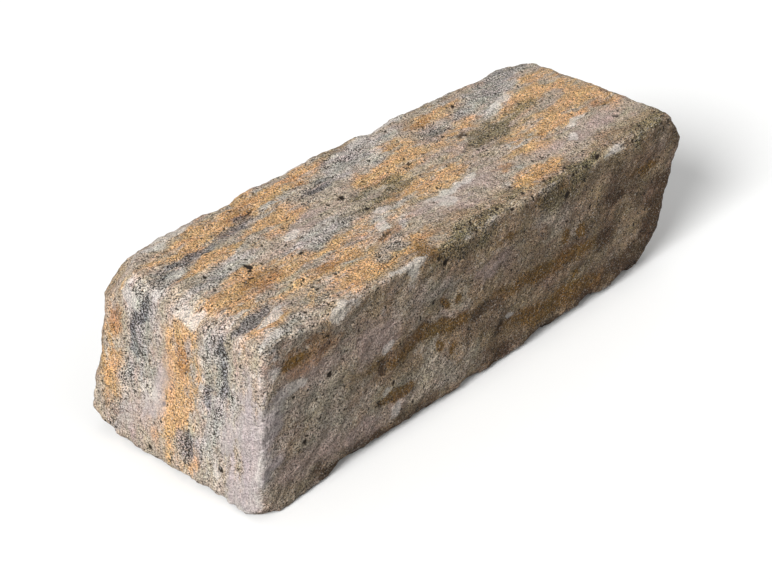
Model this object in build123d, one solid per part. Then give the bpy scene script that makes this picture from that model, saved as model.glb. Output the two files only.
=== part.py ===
from build123d import *
import math
import os

# Tumbled concrete wall block, cast in one piece. Its arrises were worn round in the drum,
# some corners were knocked off flat, and chips and shallow hollows were struck out of it.
# Lengths are in millimetres. X runs along the block from its near end, Y across it from its
# front face, and Z up from the face that it is bedded on.

# The block as cast, before it was tumbled
length = 400.0
width = 130.0
height = 112.0
far_end_lean = 10.0     # the far end overhangs its own foot by this much
far_end_skew = 6.0      # the far end stands back by this much on its way from the front to the rear
rear_lean = 4.0         # the rear face's foot stands out past its top by this much

# Radius that each arris is worn to, at even stations along it: from the near end to the far end,
# from the front to the rear, or from the base up
wear_radii = {
    "front_base": (9, 7, 9, 7, 10, 8, 12),
    "front_top": (7, 4, 5, 4, 5, 6, 13),
    "rear_base": (10, 8, 9, 7, 9, 8, 10),
    "rear_top": (30, 17, 12, 10, 11, 13, 26),
    "near_base": (9, 8, 10, 9, 12),
    "near_top": (7, 4, 4, 6, 20),
    "far_base": (14, 10, 12, 9, 11),
    "far_top": (32, 28, 26, 26, 28),
    "near_front": (10, 7, 6, 7, 9),
    "near_rear": (20, 6, 13, 16, 26),
    "far_front": (24, 17, 15, 9, 10),
    "far_rear": (15, 13, 14, 13, 16),
}
wear_run_out = 0.7      # a worn round meets the faces at a slight angle: full, it would stand this far proud
wear_overrun = 25.0     # length that the wear goes on past each end of an arris
tool_margin = 12.0      # reach of the cutting tools outside the block

# Corners knocked off flat: how far the flat reaches along X, Y and Z from the sharp corner
corner_knocks = {
    "near_rear_top": (36, 29, 33),
    "far_front_top": (26, 26, 26),
    "far_front_base": (34, 24, 40),
    "near_front_base": (17, 14, 9),
    "near_rear_base": (20, 25, 14),
    "far_rear_top": (40, 30, 26),
}

# Chips struck out of the arrises: place along the arris from 0 to 1, span and depth of the chip, and
# the slant of the blow, in degrees, where it didn't come halfway between the two faces
edge_chips = {
    "front_base": ((0.19, 30, 3.0), (0.47, 24, 2.4), (0.65, 28, 3.4), (0.79, 26, 3.2), (0.90, 30, 5.0)),
    "front_top": ((0.10, 44, 1.6), (0.43, 36, 2.0), (0.53, 26, 2.2), (0.74, 54, 2.2)),
    "rear_base": ((0.30, 28, 2.6), (0.66, 34, 3.2)),
    "rear_top": ((0.24, 30, 2.2), (0.58, 36, 2.4), (0.83, 26, 2.0)),
    "near_top": ((0.45, 64, 6.0, 65), (0.74, 24, 2.4)),
    "near_rear": ((0.47, 26, 1.6), (0.72, 24, 1.6)),
    "far_front": ((0.46, 24, 3.0),),
    "far_top": ((0.60, 30, 2.4),),
}

# Shallow hollows in the faces: place along and across or up the face from 0 to 1, span and depth
face_hollows = {
    "top": ((0.44, 0.56, 52, 2.2), (0.72, 0.55, 58, 2.2)),
    "front": ((0.36, 0.46, 70, 1.8), (0.66, 0.43, 80, 2.0), (0.55, 0.16, 46, 1.8)),
    "near": ((0.68, 0.52, 56, 1.8),),
}


def corner(end, side, level):
    """Sharp corner of the block as cast, such as corner("near", "rear", "top")."""
    raised = 1 if level == "top" else 0
    y = -width / 2 if side == "front" else width / 2 - rear_lean * raised
    if end == "near":
        x = -length / 2
    else:
        x = length / 2 - far_end_lean * (1 - raised) - far_end_skew * (y / width + 0.5)
    return Vector(x, y, height * raised)


opposite = {"near": "far", "far": "near", "front": "rear", "rear": "front", "base": "top", "top": "base"}


def arris(name):
    """Start, finish and the two inward directions, square to the arris, along the faces that meet there."""
    first, second = name.split("_")
    if first in ("front", "rear"):
        start, finish = corner("near", first, second), corner("far", first, second)
        beside = corner("near", opposite[first], second), corner("near", first, opposite[second])
    elif second in ("base", "top"):
        start, finish = corner(first, "front", second), corner(first, "rear", second)
        beside = corner(opposite[first], "front", second), corner(first, "front", opposite[second])
    else:
        start, finish = corner(first, second, "base"), corner(first, second, "top")
        beside = corner(opposite[first], second, "base"), corner(first, opposite[second], "base")
    along = (finish - start).normalized()
    inward = [(point - start) - along * (point - start).dot(along) for point in beside]
    return start, finish, inward[0].normalized(), inward[1].normalized()


def wear_section(origin, first, second, radius):
    """Closed face between a worn round and the space outside the sharp arris."""
    centre = radius - wear_run_out
    crown = centre - radius / math.sqrt(2)

    def place(a, b):
        return origin + first * a + second * b

    round_start, round_end = place(centre, -wear_run_out), place(-wear_run_out, centre)
    outline = Polyline(
        round_start,
        place(centre, -tool_margin),
        place(-tool_margin, -tool_margin),
        place(-tool_margin, centre),
        round_end,
    )
    worn_round = ThreePointArc(round_end, place(crown, crown), round_start)
    return make_face(outline.edges() + worn_round.edges())


def wear_tool(name):
    """Lofted tool that wears one arris round, with its radius changing from station to station."""
    start, finish, first, second = arris(name)
    along = (finish - start).normalized()
    radii = wear_radii[name]
    step = (finish - start) / (len(radii) - 1)
    stations = [start + step * i for i in range(len(radii))]
    stations[0] = start - along * wear_overrun
    stations[-1] = finish + along * wear_overrun
    return loft([wear_section(point, first, second, radius) for point, radius in zip(stations, radii)])


def ball_radius(span, depth):
    """Radius of the ball that leaves a dish of this span and depth in a flat face."""
    return (span * span / 4 + depth * depth) / (2 * depth)


def chip_tool(name, place, span, depth, slant=45):
    """Ball that strikes a chip out of an arris, sunk to its depth under the worn round there."""
    start, finish, first, second = arris(name)
    radii = wear_radii[name]
    station = place * (len(radii) - 1)
    low = min(int(station), len(radii) - 2)
    radius = radii[low] + (radii[low + 1] - radii[low]) * (station - low)
    worn_away = (radius - wear_run_out) * math.sqrt(2) - radius
    turn = math.radians(slant)
    inward = (first * math.cos(turn) + second * math.sin(turn)).normalized()
    ball = ball_radius(span, depth)
    middle = start + (finish - start) * place + inward * (worn_away + depth - ball)
    return Pos(middle) * Sphere(ball)


def hollow_tool(face, along, across, span, depth):
    """Ball that leaves a shallow hollow in the top, the front or the near end."""
    ball = ball_radius(span, depth)
    out = ball - depth
    x = -length / 2 + along * length
    if face == "top":
        middle = Vector(x, -width / 2 + across * width, height + out)
    elif face == "front":
        middle = Vector(x, -width / 2 - out, across * height)
    else:
        middle = Vector(-length / 2 - out, -width / 2 + along * width, across * height)
    return Pos(middle) * Sphere(ball)


def cast_block():
    """The sharp block as it leaves the mould."""
    with BuildPart() as blank:
        with BuildSketch(Plane.YZ.offset(-length / 2)):
            with BuildLine():
                Polyline(
                    (-width / 2, 0),
                    (width / 2, 0),
                    (width / 2 - rear_lean, height),
                    (-width / 2, height),
                    close=True,
                )
            make_face()
        extrude(amount=length)
        tip = corner("far", "front", "top")
        across = corner("far", "rear", "top") - tip
        down = corner("far", "front", "base") - tip
        split(bisect_by=Plane(origin=tip, x_dir=across, z_dir=down.cross(across)), keep=Keep.BOTTOM)
    return blank.part


def knock_off(block, name, reach):
    """Cuts one corner off along the flat through three points on its edges."""
    end, side, level = name.split("_")
    tip = corner(end, side, level)
    others = (
        corner(opposite[end], side, level),
        corner(end, opposite[side], level),
        corner(end, side, opposite[level]),
    )
    points = [tip + (other - tip).normalized() * far for other, far in zip(others, reach)]
    normal = (points[1] - points[0]).cross(points[2] - points[0])
    if normal.dot(tip - points[0]) < 0:
        normal = -normal
    flat = Plane(origin=points[0], x_dir=points[1] - points[0], z_dir=normal)
    return split(block, bisect_by=flat, keep=Keep.BOTTOM)


def tumbled_block():
    """The block after tumbling, standing on its base over the middle of its box."""
    block = cast_block()
    for name in wear_radii:
        block -= wear_tool(name)
    for name, reach in corner_knocks.items():
        block = knock_off(block, name, reach)
    for name, chips in edge_chips.items():
        for chip in chips:
            block -= chip_tool(name, *chip)
    for face, hollows in face_hollows.items():
        for hollow in hollows:
            block -= hollow_tool(face, *hollow)
    box = block.bounding_box()
    return Pos(-box.center().X, -box.center().Y, -box.min.Z) * block


os.makedirs("parts", exist_ok=True)
export_step(tumbled_block(), "parts/wall_block.step")
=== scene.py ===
"""Looks of a tumbled concrete wall block: its gritty relief, its pits and its streaks of pigment."""
import math
import random

import bmesh
import bpy
import numpy as np
from mathutils import Matrix, Vector, kdtree, noise


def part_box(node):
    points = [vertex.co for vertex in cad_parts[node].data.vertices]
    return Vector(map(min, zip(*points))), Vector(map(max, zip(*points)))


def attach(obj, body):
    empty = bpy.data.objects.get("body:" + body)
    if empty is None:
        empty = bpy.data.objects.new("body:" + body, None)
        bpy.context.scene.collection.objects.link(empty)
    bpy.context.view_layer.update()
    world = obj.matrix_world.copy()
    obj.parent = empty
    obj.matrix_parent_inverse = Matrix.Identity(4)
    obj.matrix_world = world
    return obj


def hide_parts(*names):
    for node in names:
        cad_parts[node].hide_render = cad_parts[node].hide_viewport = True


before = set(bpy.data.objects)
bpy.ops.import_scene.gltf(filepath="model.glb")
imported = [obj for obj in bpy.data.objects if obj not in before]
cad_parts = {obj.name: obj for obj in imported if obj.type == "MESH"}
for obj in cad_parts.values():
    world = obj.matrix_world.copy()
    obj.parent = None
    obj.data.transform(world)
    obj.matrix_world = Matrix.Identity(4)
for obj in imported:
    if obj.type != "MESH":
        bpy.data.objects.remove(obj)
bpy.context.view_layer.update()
low_corner, high_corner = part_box("wall_block")

# Lengths are in millimetres, apart from the studio's. A place on the block is measured from its near
# end (X), from its front face (Y) and up from its base (Z).
MM = 0.001
block_size = (high_corner - low_corner) / MM

# Faces of the block: the axes along, across and through each one, and whether it is the far one of its pair
faces = {
    "top": (0, 1, 2, True),
    "front": (0, 2, 1, False),
    "near": (2, 1, 0, False),
    "rear": (0, 2, 1, True),
    "far": (2, 1, 0, True),
}

# Mesh that carries the relief
merge_gap = 0.01
mesh_step = 1.6
smooth_share = 0.5          # how far each vertex is drawn to its neighbours, to smooth the mesh's steps

# Relief: how wide its waves are along X, Y and Z, and how far they rise and fall. The mix was poured in
# upright sheets along the block, so the sheets are thin across Y. Broken waves have finer waves on them:
# how fast those fade, how much finer each set is than the last, and how many sets there are.
broad_waves = (70, 50, 40)
broad_height = 1.1
sheet_waves = (34, 9, 26)
sheet_height = 0.7
sheet_breaks = (1.0, 2.0, 3)
lump_waves = (10, 7, 8)
lump_height = 0.6
lump_breaks = (0.9, 2.0, 2)
clod_waves = (13, 7, 10)
clod_height = 1.3
clod_rim = 0.4              # share of a wave from its middle at which a clod is level with the face
clod_band = (6, 16)         # depths under the top between which the clods shrink
clod_least = 0.35           # share of their height that they keep below that
grit_waves = (3.2, 3.2, 3.2)
grit_height = 0.5
crumble_waves = (6, 4, 4)
crumble_depth = 1.8
crumble_breaks = (0.8, 2.0, 3)
edge_band = (2, 10)         # distances from an arris between which its crumbling and rubbing fade out
relief_sink = 0.9           # the whole relief lies this much under the cast faces

# How far each kind of mix stands over the rest: soft mix wore away
tone_relief = {"slate": -1.4, "pepper": -0.4, "soil_and_shade": -0.8, "rust": -0.5, "bloom": 0.2}

# Pits, where a stone or a lump of dirt fell out: face, place along and across it, radius and depth
pits = (
    ("top", 55, 62, 1.8, 2.0),
    ("top", 353, 27, 2.2, 2.2),
    ("top", 264, 78, 1.6, 1.6),
    ("top", 148, 78, 1.6, 1.6),
    ("front", 148, 100, 2.4, 2.2),
    ("front", 266, 97, 2.4, 2.2),
    ("front", 52, 72, 1.8, 1.4),
    ("near", 22, 30, 2.0, 1.6),
)
pit_rim = 0.8               # a pit slopes up to the face this far outside its radius
pit_open = 0.5              # share of its depth that is carved; the rest is painted dark as dirt and shade
small_pit_count = 60
small_pit_radius = (0.6, 1.4)
small_pit_depth = (0.4, 0.8)    # shares of its radius
edge_pit_count = 60         # pits along the front top arris
edge_pit_run = (0.38, 0.97)     # shares of the block's length between which they lie
edge_pit_inset = 8          # how far they reach in from the front face
edge_pit_drop = 3           # how far under the top they lie at the front face
edge_pit_climb = 0.3        # how much higher they lie for each millimetre in from it
edge_pit_radius = (0.5, 1.5)
edge_pit_depth = 0.8        # share of its radius
random_seed = 11

# How the streaks of pigment lie
streak_lean = {"top": 0.17, "front": -0.08, "near": -0.18, "rear": 0.1, "far": -0.1}
streak_reach = 18           # a streak is as thin this deep below its face as it is at its half width
streak_fade = (0.1, 1.7)    # shares of its half length and half width between which a streak fades out
drifts = ((40, 6), (14, 4), (6, 2))     # width and reach of the eddies that bend the streaks
eddy_shifts = (             # the eddies along X, Y and Z are unlike
    Vector((9, 4, 7)),
    Vector((31, 12, 5)),
    Vector((3, 27, 18)),
)
arris_bloom = 0.55          # the arrises are rubbed pale by this much

# Streaks on each face, by tone: place along and across the face, half length and half width
streaks = {
    "top": {
        "ochre": (
            (65, 105, 60, 11), (92, 84, 54, 9), (205, 85, 40, 12), (335, 86, 46, 12), (366, 62, 18, 28),
            (36, 43, 48, 14), (94, 40, 44, 12), (198, 55, 50, 13), (322, 52, 64, 14), (14, 14, 16, 7),
            (82, 17, 50, 11), (136, 20, 22, 12), (252, 18, 24, 10), (40, 83, 30, 5), (128, 106, 40, 9),
            (270, 106, 30, 8), (262, 84, 30, 9), (5, 50, 14, 8),
        ),
        "rust": (
            (142, 106, 12, 4), (254, 106, 12, 4), (95, 36, 18, 5), (130, 34, 13, 4), (237, 33, 13, 4),
            (362, 42, 11, 6), (50, 46, 18, 6), (182, 57, 14, 5), (100, 108, 18, 5), (300, 50, 14, 5),
        ),
        "slate": (
            (38, 93, 48, 6), (18, 89, 26, 6), (18, 25, 24, 3.5), (70, 97, 28, 5), (143, 94, 16, 6),
            (252, 93, 14, 7),
        ),
        "pepper": (
            (30, 66, 14, 7), (128, 24, 18, 6), (30, 8, 40, 6), (143, 94, 22, 8), (252, 93, 20, 9),
            (14, 88, 18, 8), (110, 58, 20, 5), (190, 105, 36, 10), (320, 106, 44, 9),
        ),
        "grey": (
            (35, 66, 38, 11), (100, 95, 32, 5), (195, 100, 38, 10), (322, 102, 56, 12), (140, 47, 16, 7),
            (170, 52, 12, 5), (285, 50, 14, 5), (110, 62, 38, 7), (120, 30, 38, 5), (240, 24, 16, 6),
            (60, 30, 26, 3), (130, 123, 28, 6), (185, 122, 28, 6), (240, 122, 28, 6), (295, 121, 28, 6),
            (345, 119, 26, 6),
        ),
        "rose": (
            (115, 70, 20, 10), (168, 31, 14, 7), (283, 30, 16, 7), (245, 66, 16, 15), (210, 30, 42, 9),
            (330, 28, 42, 9),
        ),
        "olive": (
            (165, 66, 32, 11), (284, 67, 38, 11), (180, 4, 40, 6), (270, 4, 40, 5), (350, 4, 36, 5),
        ),
        # dirt and painted shade in and beside pits
        "soil_and_shade": ((148, 80, 4, 2), (264, 79, 5, 2), (130, 35, 6, 1.5)),
        "bloom": (
            (92, 68, 8, 4), (188, 29, 8, 5), (305, 26, 9, 5), (135, 42, 6, 3.5), (152, 50, 9, 5),
            (205, 40, 28, 3.5), (325, 38, 28, 3.5), (12, 31, 14, 2.5), (24, 20, 14, 2.5), (8, 7, 13, 7),
            (62, 3, 22, 4), (105, 2, 24, 4), (20, 86, 7, 3.5), (190, 92, 18, 5), (310, 92, 22, 5),
            (160, 122, 24, 4), (225, 122, 24, 4), (100, 126, 90, 5), (280, 126, 110, 5),
        ),
    },
    "front": {
        "umber": ((250, 56, 200, 110),),
        # painted shade: the front is painted darker towards its far end and along its base
        "painted_shade": ((440, 50, 210, 120), (260, -4, 220, 18), (190, 46, 24, 18)),
        "stain": (
            (132, 55, 46, 6), (119, 57, 16, 6), (255, 52, 56, 6), (110, 29, 16, 4), (275, 19, 60, 8),
            (23, 96, 8, 4), (135, 105, 14, 5), (250, 103, 14, 5), (150, 70, 4, 3.5), (163, 69, 4, 4),
            (150, 39, 4, 3.5), (165, 38, 4, 4), (270, 67, 4, 4), (286, 65, 5, 4), (287, 34, 4, 4),
            (230, 25, 26, 6), (212, 89, 12, 3), (350, 84, 16, 3),
        ),
        "rose": ((192, 80, 20, 8), (70, 82, 60, 14), (60, 20, 50, 12)),
        "rust": ((27, 97, 30, 13),),
        "putty": ((50, 46, 60, 30), (245, 80, 40, 14), (150, 26, 42, 12), (130, 84, 30, 10)),
        "bloom": (
            (104, 67, 6, 3), (104, 36, 6, 3), (24, 78, 12, 4), (218, 34, 6, 3), (110, 17, 4, 7),
            (6, 100, 9, 12),
        ),
        # painted shade along the base, at the far end and beside the ridges, with some dirt
        "soil_and_shade": (
            (100, 55, 3, 5), (99, 28, 3, 5), (188, 50, 9, 7), (80, 2, 44, 9), (150, 0, 44, 7),
            (200, 2, 36, 10), (260, 0, 44, 9), (310, 2, 50, 11), (365, 4, 50, 20), (390, 28, 34, 40),
            (210, 26, 4, 5), (322, 74, 12, 6), (310, 48, 12, 8),
        ),
    },
    "near": {
        "ochre": ((68, 110, 40, 7), (57, 59, 54, 17), (18, 54, 14, 7), (20, 113, 14, 4), (106, 48, 8, 8)),
        "rust": ((80, 108, 12, 5), (72, 60, 14, 5), (107, 48, 7, 6)),
        "slate": ((98, 88, 16, 4), (70, 97, 22, 4), (88, 30, 20, 4), (60, 42, 18, 4), (26, 55, 12, 4)),
        "pepper": (
            (78, 95, 42, 10), (70, 36, 40, 11), (24, 56, 13, 6), (100, 34, 14, 10), (16, 112, 14, 6),
        ),
        "grey": ((64, 92, 50, 13), (62, 37, 48, 13)),
        "rose": ((48, 80, 48, 9), (20, 90, 20, 18)),
        "lilac": ((46, 11, 48, 16), (45, 80, 20, 7)),
        "bloom": (
            (103, 54, 6, 11), (94, 100, 9, 5), (105, 20, 7, 10), (76, 44, 20, 3), (45, 81, 7, 6),
            (20, 36, 13, 7),
        ),
    },
    "rear": {
        "umber": ((200, 56, 260, 90),),
        # painted shade along the rear's base
        "painted_shade": ((60, 0, 120, 14), (320, 0, 110, 14)),
        "stain": (
            (70, 70, 48, 5), (170, 42, 58, 5), (300, 66, 54, 6), (250, 20, 58, 6), (80, 88, 5, 4),
            (330, 46, 5, 4), (215, 64, 5, 4), (120, 24, 5, 4),
        ),
        "ochre": ((360, 88, 28, 10), (60, 92, 40, 8)),
        "putty": ((120, 84, 62, 15), (330, 34, 52, 19), (40, 30, 42, 19)),
        "rose": ((210, 74, 40, 14), (120, 18, 40, 10)),
        "bloom": ((150, 90, 18, 6), (272, 84, 14, 6), (95, 22, 10, 6)),
        # painted shade along the rear's base, with some dirt
        "soil_and_shade": ((120, 0, 130, 8), (320, 0, 90, 9)),
    },
    "far": {
        "ochre": ((62, 62, 54, 14), (70, 92, 42, 9), (30, 24, 32, 9)),
        "rust": ((80, 62, 16, 5), (40, 90, 12, 5)),
        "slate": ((70, 110, 26, 6), (52, 40, 24, 6)),
        "pepper": ((60, 110, 44, 10), (58, 40, 40, 10)),
        "grey": ((60, 106, 52, 13), (56, 38, 52, 12)),
        "rose": ((50, 78, 52, 9), (40, 12, 46, 13)),
        "bloom": ((102, 70, 7, 17), (84, 18, 13, 7)),
    },
}

# Tones of the pigmented mix, of its grains, of the dirt on it and of the shade painted on it
tones = {
    "dun": "#AD9C89",
    "pale_dun": "#B8A897",
    "umber": "#A58E74",
    "putty": "#B9AD9D",
    # painted shade for the far end of the front and for the bases
    "painted_shade": "#6F5C48",
    "rose": "#B6A298",
    "lilac": "#B7ACAA",
    "grey": "#B9B4AD",
    "ochre": "#DBAA70",
    "rust": "#9C6A36",
    "stain": "#795A2B",
    "slate": "#787A81",
    "pepper": "#B0ACA6",
    "olive": "#8E7F5E",
    "bloom": "#DCD4CC",
    # dirt and painted shade
    "soil_and_shade": "#54412F",
    "rust_grain": "#86582A",
    "dark_grain": "#2B2622",
    "pale_grain": "#E8E0D6",
    # near-black painted shade and dirt for holes
    "pit_dirt": "#2A221B",
}

# Layers of pigment from the lowest up: how strongly each one covers what lies under it, how much of it
# there has to be before it begins to show and until it covers most, and what share of the tears it takes
layers = {
    "umber": (1.0, 0.0, 0.5, 1.0),
    # painted shade over the front's far end and the bases
    "painted_shade": (0.9, 0.0, 1.3, 1.0),
    "putty": (0.8, 0.0, 1.2, 1.0),
    "rose": (0.8, 0.0, 1.2, 1.0),
    "lilac": (0.85, 0.0, 0.7, 0.7),
    "grey": (0.75, 0.1, 1.0, 1.0),
    "ochre": (0.74, 0.12, 0.9, 1.0),
    "rust": (0.6, 0.2, 0.9, 1.0),
    "stain": (0.9, 0.0, 0.65, 0.45),
    "pepper": (0.7, 0.05, 0.9, 1.0),
    "slate": (0.62, 0.3, 1.1, 1.0),
    "olive": (0.85, 0.05, 0.75, 1.0),
    "bloom": (0.6, 0.2, 1.15, 1.0),
    # dirt and painted shade on bases, beside ridges and in pits
    "soil_and_shade": (0.9, 0.1, 0.8, 1.0),
}

# Pattern of the pigment and of the sand
sheet_draw = (0.3, 1.0, 0.4)    # the sheets of mix are drawn out along the block and upright
sheet_width = 11.0
sheet_noise = {"Detail": 5.0, "Roughness": 0.66}
sheet_tear = 8.0                # how strongly the sheets thin and thicken a streak
crumb_size = 2.4
crumb_tear = 0.2                # how strongly single crumbs of it do
mottle_width = 6.0
mottle_noise = {"Detail": 4.0, "Roughness": 0.65}
mottle_span = (0.3, 0.7)        # most of the mottle's noise lies between these
mottle_shade = (0.9, 1.1)       # how dark and how pale it makes the mix there
mottle_tint = 0.3               # the mix is a little greener in one spot, a little pinker in the next
sand_size = 0.7                 # most of the sand is too fine to show, so it is drawn this coarse
sand_shade = (0.35, 1.65)       # how dark and how pale the grains are beside the mix
speck_size = 0.9
speck_noise = {"Detail": 1.0, "Roughness": 0.6}
pinhole_size = 2.6
pinhole_noise = {"Detail": 1.0}
grit_size = 2.0
grit_noise = {"Detail": 3.0, "Roughness": 0.8}
grit_rise = 1.6

# How rusty grains crowd in the ochre mix, and dark grains in others: the lilac mix has few
rust_crowding = 0.1
dark_crowding = {"umber": 0.015, "lilac": -0.04, "pepper": 0.1, "slate": 0.12, "olive": 0.09}

# Grains, dirt and painted shade in holes, and skins of fine cement over the pigment: tone, the pattern or
# the pigment that each follows, where on that it begins to show and is whole, and how strongly it covers
spots = (
    ("rust_grain", "rusty_specks", 0.6, 0.7, 0.35),
    ("dark_grain", "dark_specks", 0.4, 0.375, 1.0),
    ("pale_grain", "pale_specks", 0.62, 0.67, 0.5),
    # near-black painted shade and dirt in pinholes and pits
    ("pit_dirt", "pinholes", 0.315, 0.3, 0.9),
    ("pit_dirt", "pit", 0.2, 0.6, 1.0),
    ("rose", "rose", 0.2, 0.7, 0.25),
    ("lilac", "lilac", 0.2, 0.7, 0.4),
    ("bloom", "bloom", 0.25, 0.5, 0.38),
)

# Concrete of bare grains has hardly any gloss
concrete_roughness = 0.92
concrete_ior = 1.5
concrete_gloss = 0.25

# Sockets of a colour Mix node: its share, the colours under and over, and its result
MIX_SHARE, MIX_UNDER, MIX_OVER, MIX_RESULT = 0, 6, 7, 2

# Camera, matched to the photograph
camera_lens = 86.49
camera_aim = Vector((-16.51, 3.06, 37.8)) * MM
camera_distance = 1114.0 * MM
camera_azimuth = math.radians(-142.32)
camera_elevation = math.radians(31.61)
camera_roll = math.radians(-3.96)

# Studio around the block, in metres
floor_half = 60.0
floor_tone = "#FCFCFB"
floor_roughness = 0.95
room_strength = 0.445
room_low_tone = "#3A3733"
room_high_tone = "#FFFFFF"
room_horizon = (-0.3, 0.3)      # the room turns from its low tone to its high one between these slopes
key_direction = Vector((-0.87, -0.13, 0.475))
key_strength = 4.35
key_spread = math.radians(24)
fill_spot = Vector((0.6, -2.4, 1.6))
fill_size = 1.6
fill_power = 6.5


def linear(code):
    """Linear colour of an sRGB hex value."""
    parts = [int(code[start:start + 2], 16) / 255 for start in (1, 3, 5)]
    return [part / 12.92 if part <= 0.04045 else ((part + 0.055) / 1.055) ** 2.4 for part in parts] + [1.0]


def smoothstep(low, high, value):
    """Smooth rise from 0 at low to 1 at high."""
    share = np.clip((value - low) / (high - low), 0.0, 1.0)
    return share * share * (3 - 2 * share)


def block_place(vert):
    """Place of a vertex on the block, in millimetres."""
    return (vert.co - low_corner) / MM


def face_places(places, face):
    """Place along and across a face of the block, and depth below it, for each point."""
    along, across, through, far_side = faces[face]
    depth = places[:, through]
    if far_side:
        depth = block_size[through] - depth
    return places[:, along], places[:, across], depth


def face_point(face, distance_along, distance_across):
    """Point on the cast face of the block at a place along and across it."""
    along, across, through, far_side = faces[face]
    point = Vector((0, 0, 0))
    point[along] = distance_along
    point[across] = distance_across
    if far_side:
        point[through] = block_size[through]
    return point


def fine_block():
    """An even mesh of the block, closed and merged, for its relief."""
    merged = bmesh.new()
    merged.from_mesh(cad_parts["wall_block"].data)
    bmesh.ops.remove_doubles(merged, verts=merged.verts, dist=merge_gap * MM)
    mesh = bpy.data.meshes.new("tumbled_block")
    merged.to_mesh(mesh)
    merged.free()
    piece = bpy.data.objects.new("tumbled_block", mesh)
    bpy.context.scene.collection.objects.link(piece)
    remesh = piece.modifiers.new("even_mesh", "REMESH")
    remesh.mode = "VOXEL"
    remesh.voxel_size = mesh_step * MM
    graph = bpy.context.evaluated_depsgraph_get()
    piece.data = bpy.data.meshes.new_from_object(piece.evaluated_get(graph))
    piece.modifiers.clear()
    return piece


def arris_nearness(place):
    """1 on the arrises of the block, fading to 0 on its faces."""
    gaps = sorted(min(along, size - along) for along, size in zip(place, block_size))
    return 1 - float(smoothstep(*edge_band, gaps[1]))


def store(mesh, name, amounts):
    """Keeps one amount for each vertex as a named attribute of the mesh."""
    layer = mesh.attributes.new(name, "FLOAT", "POINT")
    layer.data.foreach_set("value", np.asarray(amounts, np.float32))


def drifted(place):
    """Place from which the eddies of the mix carried what lies at this place."""
    drift = Vector((0, 0, 0))
    for width, reach in drifts:
        drift += Vector([noise.noise(place / width + shift) for shift in eddy_shifts]) * reach
    return place + drift


def paint(piece):
    """Marks how much of each pigment every vertex has, soft at its edges, and returns the amounts."""
    mesh = piece.data
    places = np.array([drifted(block_place(vert)) for vert in mesh.vertices])
    amounts = {tone: np.zeros(len(places)) for tone in layers}
    for face, by_tone in streaks.items():
        along, across, below = face_places(places, face)
        for tone, marks in by_tone.items():
            for mark_along, mark_across, half_length, half_width in marks:
                far_along = along - mark_along
                far_across = across - mark_across - streak_lean[face] * far_along
                gap = np.sqrt(
                    (far_along / half_length) ** 2
                    + (far_across / half_width) ** 2
                    + (below / streak_reach) ** 2
                )
                amounts[tone] = np.maximum(amounts[tone], 1 - smoothstep(*streak_fade, gap))
    rubbed = [arris_bloom * arris_nearness(block_place(vert)) for vert in mesh.vertices]
    amounts["bloom"] = np.maximum(amounts["bloom"], rubbed)
    for tone, amount in amounts.items():
        store(mesh, tone, amount)
    return amounts


def waves(place, widths):
    """Place scaled so that one unit is one wave of the relief."""
    return Vector([along / width for along, width in zip(place, widths)])


def relief(place):
    """Height of the rough surface over the cast block at a place, in millimetres."""
    height = -relief_sink
    height += broad_height * noise.noise(waves(place, broad_waves))
    height += sheet_height * noise.fractal(waves(place, sheet_waves), *sheet_breaks)
    height += lump_height * noise.fractal(waves(place, lump_waves), *lump_breaks)
    near_top = 1 - float(smoothstep(*clod_band, block_size.z - place.z))
    open_mix = clod_least + (1 - clod_least) * near_top
    height += clod_height * open_mix * (clod_rim - noise.voronoi(waves(place, clod_waves))[0][0])
    height += grit_height * noise.noise(waves(place, grit_waves))
    crumble = 0.5 + 0.5 * noise.fractal(waves(place, crumble_waves), *crumble_breaks)
    return height - crumble_depth * arris_nearness(place) * max(crumble, 0) ** 2


def all_pits():
    """Centre, radius and depth of every pit: large ones, small ones and those on the front top arris."""
    chance = random.Random(random_seed)
    found = [
        (face_point(face, along, across), radius, depth)
        for face, along, across, radius, depth in pits
    ]
    spans = {face: (block_size[axes[0]], block_size[axes[1]]) for face, axes in faces.items()}
    areas = [span[0] * span[1] for span in spans.values()]
    for face in chance.choices(list(spans), areas, k=small_pit_count):
        along, across = (chance.uniform(0, size) for size in spans[face])
        radius = chance.uniform(*small_pit_radius)
        found.append((face_point(face, along, across), radius, radius * chance.uniform(*small_pit_depth)))
    for pit in range(edge_pit_count):
        along = chance.uniform(*edge_pit_run) * block_size.x
        inset = chance.uniform(0, edge_pit_inset)
        radius = chance.uniform(*edge_pit_radius)
        level = block_size.z - edge_pit_drop + edge_pit_climb * inset
        found.append((Vector((along, inset, level)), radius, radius * edge_pit_depth))
    return found


def roughen(piece, amounts):
    """Gives the even mesh its relief and pits, inside the cast block's box, and marks the pits."""
    worn = sum(rise * amounts[tone] for tone, rise in tone_relief.items())
    found = all_pits()
    centres = kdtree.KDTree(len(found))
    for index, (centre, radius, depth) in enumerate(found):
        centres.insert(centre, index)
    centres.balance()
    widest = max(radius for centre, radius, depth in found) + pit_rim

    shape = bmesh.new()
    shape.from_mesh(piece.data)
    bmesh.ops.smooth_vert(
        shape, verts=shape.verts, factor=smooth_share, use_axis_x=True, use_axis_y=True, use_axis_z=True
    )
    shape.normal_update()
    pit_marks = []
    moved = []
    for vert in shape.verts:
        place = block_place(vert)
        height = relief(place) + worn[vert.index]
        mark = 0.0
        for centre, index, gap in centres.find_range(place, widest):
            radius, depth = found[index][1:]
            hollow = max(0.0, 1 - (gap / (radius + pit_rim)) ** 2)
            mark = max(mark, hollow)
            height -= depth * hollow * pit_open
        pit_marks.append(mark)
        moved.append(vert.co + vert.normal * height * MM)
    for vert, point in zip(shape.verts, moved):
        vert.co = [min(max(along, low), high) for along, low, high in zip(point, low_corner, high_corner)]
    for face in shape.faces:
        face.smooth = True
    shape.to_mesh(piece.data)
    shape.free()
    store(piece.data, "pit", pit_marks)


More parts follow.
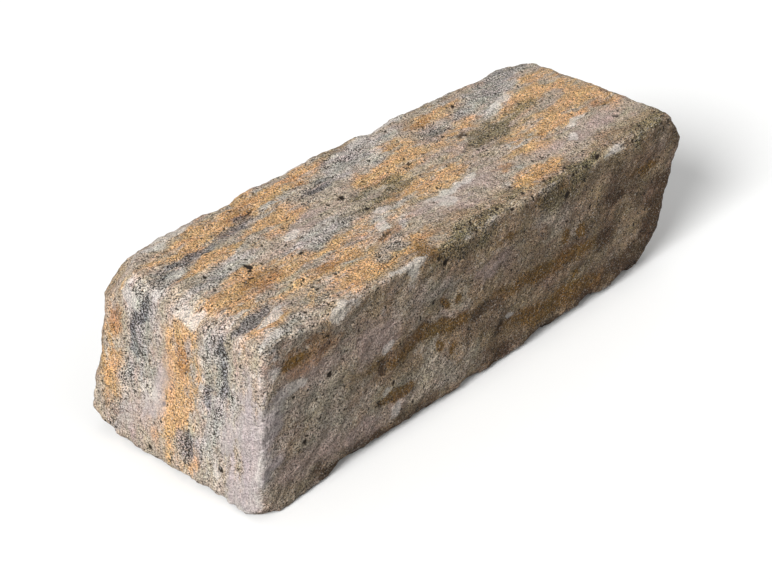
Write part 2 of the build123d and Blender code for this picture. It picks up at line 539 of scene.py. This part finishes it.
def add_node(tree, kind, inputs, **settings):
    """Adds a shader node with its settings, and sets or links its inputs."""
    node = tree.nodes.new("ShaderNode" + kind)
    for name, value in settings.items():
        setattr(node, name, value)
    for socket, value in inputs.items():
        if isinstance(value, bpy.types.NodeSocket):
            tree.links.new(value, node.inputs[socket])
        else:
            node.inputs[socket].default_value = value
    return node


def tears_in_mix(tree, place, drawn):
    """Three unlike patterns of thin upright sheets, frayed by crumbs, that lie evenly about 0."""
    sheets = add_node(
        tree, "TexNoise", {"Vector": drawn, "Scale": 1 / (sheet_width * MM), **sheet_noise}
    ).outputs["Color"]
    crumbs = add_node(
        tree, "TexVoronoi", {"Vector": place, "Scale": 1 / (crumb_size * MM)}
    ).outputs["Color"]
    middle = -0.5 * (sheet_tear + crumb_tear)
    frayed = add_node(
        tree, "VectorMath", {0: crumbs, 1: [crumb_tear] * 3, 2: [middle] * 3}, operation="MULTIPLY_ADD"
    ).outputs["Vector"]
    torn = add_node(
        tree, "VectorMath", {0: sheets, 1: [sheet_tear] * 3, 2: frayed}, operation="MULTIPLY_ADD"
    ).outputs["Vector"]
    return add_node(tree, "SeparateXYZ", {"Vector": torn}).outputs


def pigments(tree, mottle, tears):
    """Colour of the dun mix with each pigment in turn over it, and how far each one covers."""
    colour = add_node(
        tree, "Mix",
        {MIX_SHARE: mottle["Fac"], MIX_UNDER: linear(tones["dun"]), MIX_OVER: linear(tones["pale_dun"])},
        data_type="RGBA",
    ).outputs[MIX_RESULT]
    covers = {}
    for index, (tone, (strength, bare, full, tearing)) in enumerate(layers.items()):
        amount = add_node(tree, "Attribute", {}, attribute_name=tone).outputs["Fac"]
        tear = add_node(
            tree, "Math", {0: tears[index % 3], 1: tearing, 2: 1.0}, operation="MULTIPLY_ADD"
        ).outputs["Value"]
        ragged = add_node(tree, "Math", {0: amount, 1: tear}, operation="MULTIPLY").outputs["Value"]
        covers[tone] = add_node(
            tree, "MapRange",
            {"Value": ragged, "From Min": bare, "From Max": full, "To Min": 0.0, "To Max": strength},
            interpolation_type="SMOOTHSTEP",
        ).outputs["Result"]
        colour = add_node(
            tree, "Mix",
            {MIX_SHARE: covers[tone], MIX_UNDER: colour, MIX_OVER: linear(tones[tone])},
            data_type="RGBA",
        ).outputs[MIX_RESULT]
    return colour, covers


def sand_shades(tree, place, mottle, colour):
    """The colour with a shade for each sand grain, and the mottle's shade and tint."""
    grains = add_node(tree, "TexVoronoi", {"Vector": place, "Scale": 1 / (sand_size * MM)}).outputs["Color"]
    grain = add_node(tree, "SeparateXYZ", {"Vector": grains}).outputs["X"]
    grain_shade = add_node(
        tree, "MapRange", {"Value": grain, "To Min": sand_shade[0], "To Max": sand_shade[1]}
    ).outputs["Result"]
    sheet_shade = add_node(
        tree, "MapRange",
        {
            "Value": mottle["Fac"], "From Min": mottle_span[0], "From Max": mottle_span[1],
            "To Min": mottle_shade[0], "To Max": mottle_shade[1],
        },
    ).outputs["Result"]
    shade = add_node(tree, "Math", {0: grain_shade, 1: sheet_shade}, operation="MULTIPLY").outputs["Value"]
    tint = add_node(
        tree, "VectorMath",
        {0: mottle["Color"], 1: [mottle_tint] * 3, 2: [1 - 0.5 * mottle_tint] * 3},
        operation="MULTIPLY_ADD",
    ).outputs["Vector"]
    for factor in (shade, tint):
        colour = add_node(
            tree, "Mix", {MIX_SHARE: 1.0, MIX_UNDER: colour, MIX_OVER: factor},
            data_type="RGBA", blend_type="MULTIPLY",
        ).outputs[MIX_RESULT]
    return colour


def spotted(tree, place, covers, colour):
    """The colour with rusty, dark and pale grains, dirt and painted shade in its holes, and skins of fine
    cement.
    """
    specks = add_node(
        tree, "TexNoise", {"Vector": place, "Scale": 1 / (speck_size * MM), **speck_noise}
    ).outputs
    dark_specks = specks["Fac"]
    for tone, crowding in dark_crowding.items():
        dark_specks = add_node(
            tree, "Math", {0: covers[tone], 1: -crowding, 2: dark_specks}, operation="MULTIPLY_ADD"
        ).outputs["Value"]
    other_specks = add_node(tree, "SeparateXYZ", {"Vector": specks["Color"]}).outputs
    rusty_specks = add_node(
        tree, "Math", {0: covers["ochre"], 1: rust_crowding, 2: other_specks["Z"]}, operation="MULTIPLY_ADD"
    ).outputs["Value"]
    # pinholes: dots that take near-black painted shade and dirt, with no hole in the mesh
    pinholes = add_node(
        tree, "TexNoise", {"Vector": place, "Scale": 1 / (pinhole_size * MM), **pinhole_noise}
    ).outputs["Fac"]
    patterns = {
        **covers,
        "rusty_specks": rusty_specks,
        "dark_specks": dark_specks,
        "pale_specks": other_specks["Y"],
        "pinholes": pinholes,
        "pit": add_node(tree, "Attribute", {}, attribute_name="pit").outputs["Fac"],
    }
    for tone, pattern, bare, full, strength in spots:
        cover = add_node(
            tree, "MapRange",
            {
                "Value": patterns[pattern], "From Min": bare, "From Max": full,
                "To Min": 0.0, "To Max": strength,
            },
        ).outputs["Result"]
        colour = add_node(
            tree, "Mix",
            {MIX_SHARE: cover, MIX_UNDER: colour, MIX_OVER: linear(tones[tone])},
            data_type="RGBA",
        ).outputs[MIX_RESULT]
    return colour


def tumbled_concrete():
    """Pigmented concrete, tumbled: matt and gritty, every sand grain bare, its pigment torn into wisps."""
    material = bpy.data.materials.new("tumbled_pigmented_concrete")
    material.use_nodes = True
    tree = material.node_tree
    tree.nodes.clear()
    place = add_node(tree, "TexCoord", {}).outputs["Object"]
    drawn = add_node(tree, "Mapping", {"Vector": place, "Scale": sheet_draw}).outputs["Vector"]
    mottle = add_node(
        tree, "TexNoise", {"Vector": drawn, "Scale": 1 / (mottle_width * MM), **mottle_noise}
    ).outputs
    colour, covers = pigments(tree, mottle, tears_in_mix(tree, place, drawn))
    colour = sand_shades(tree, place, mottle, colour)
    colour = spotted(tree, place, covers, colour)

    # grit too fine for the mesh
    grit = add_node(
        tree, "TexNoise", {"Vector": place, "Scale": 1 / (grit_size * MM), **grit_noise}
    ).outputs["Fac"]
    bump = add_node(
        tree, "Bump", {"Strength": 1.0, "Distance": grit_rise * MM, "Height": grit}
    ).outputs["Normal"]
    shader = add_node(
        tree, "BsdfPrincipled",
        {
            "Base Color": colour, "Roughness": concrete_roughness, "IOR": concrete_ior,
            "Specular IOR Level": concrete_gloss, "Normal": bump,
        },
    )
    add_node(tree, "OutputMaterial", {"Surface": shader.outputs["BSDF"]})
    return material


def studio_paper():
    """Matt pale paper for the floor: an even tone with no gloss."""
    material = bpy.data.materials.new("matt_studio_paper")
    material.use_nodes = True
    shader = material.node_tree.nodes["Principled BSDF"]
    shader.inputs["Base Color"].default_value = linear(floor_tone)
    shader.inputs["Roughness"].default_value = floor_roughness
    return material


def pale_floor(scene):
    """A wide pale floor that throws no light back at the block, whose shaded sides stay dark."""
    plane = bmesh.new()
    bmesh.ops.create_grid(plane, x_segments=1, y_segments=1, size=floor_half)
    mesh = bpy.data.meshes.new("floor")
    plane.to_mesh(mesh)
    plane.free()
    mesh.materials.append(studio_paper())
    floor = bpy.data.objects.new("floor", mesh)
    floor.visible_diffuse = False
    scene.collection.objects.link(floor)


def soft_room(scene):
    """An even white room, dark below its horizon."""
    world = bpy.data.worlds.new("soft_white_room")
    world.use_nodes = True
    tree = world.node_tree
    heading = add_node(tree, "TexCoord", {}).outputs["Generated"]
    slope = add_node(tree, "SeparateXYZ", {"Vector": heading}).outputs["Z"]
    height = add_node(
        tree, "MapRange", {"Value": slope, "From Min": room_horizon[0], "From Max": room_horizon[1]}
    ).outputs["Result"]
    tint = add_node(
        tree, "Mix",
        {MIX_SHARE: height, MIX_UNDER: linear(room_low_tone), MIX_OVER: linear(room_high_tone)},
        data_type="RGBA",
    ).outputs[MIX_RESULT]
    light = tree.nodes["Background"]
    tree.links.new(tint, light.inputs["Color"])
    light.inputs["Strength"].default_value = room_strength
    scene.world = world


def softboxes(scene):
    """A large far softbox on the near end's side, and a weak fill in front."""
    key = bpy.data.lights.new("far_softbox", "SUN")
    key.energy = key_strength
    key.angle = key_spread
    fill = bpy.data.lights.new("front_softbox", "AREA")
    fill.energy = fill_power
    fill.size = fill_size
    for light, spot in ((key, key_direction), (fill, fill_spot)):
        lamp = bpy.data.objects.new(light.name, light)
        lamp.location = spot
        lamp.rotation_euler = (-spot).to_track_quat("-Z", "Y").to_euler()
        scene.collection.objects.link(lamp)


def photo_camera(scene):
    """The camera at the photograph's angle."""
    lens = bpy.data.cameras.new("camera")
    lens.lens = camera_lens
    camera = bpy.data.objects.new("camera", lens)
    back = Vector((
        math.cos(camera_elevation) * math.cos(camera_azimuth),
        math.cos(camera_elevation) * math.sin(camera_azimuth),
        math.sin(camera_elevation),
    ))
    turned = back.to_track_quat("Z", "Y").to_matrix() @ Matrix.Rotation(-camera_roll, 3, "Z")
    camera.matrix_world = Matrix.Translation(camera_aim + back * camera_distance) @ turned.to_4x4()
    scene.collection.objects.link(camera)
    scene.camera = camera


block = fine_block()
roughen(block, paint(block))
block.data.materials.clear()
block.data.materials.append(tumbled_concrete())
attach(block, "root")
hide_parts("wall_block")

studio = bpy.context.scene
studio.view_settings.view_transform = "Standard"
pale_floor(studio)
soft_room(studio)
softboxes(studio)
photo_camera(studio)
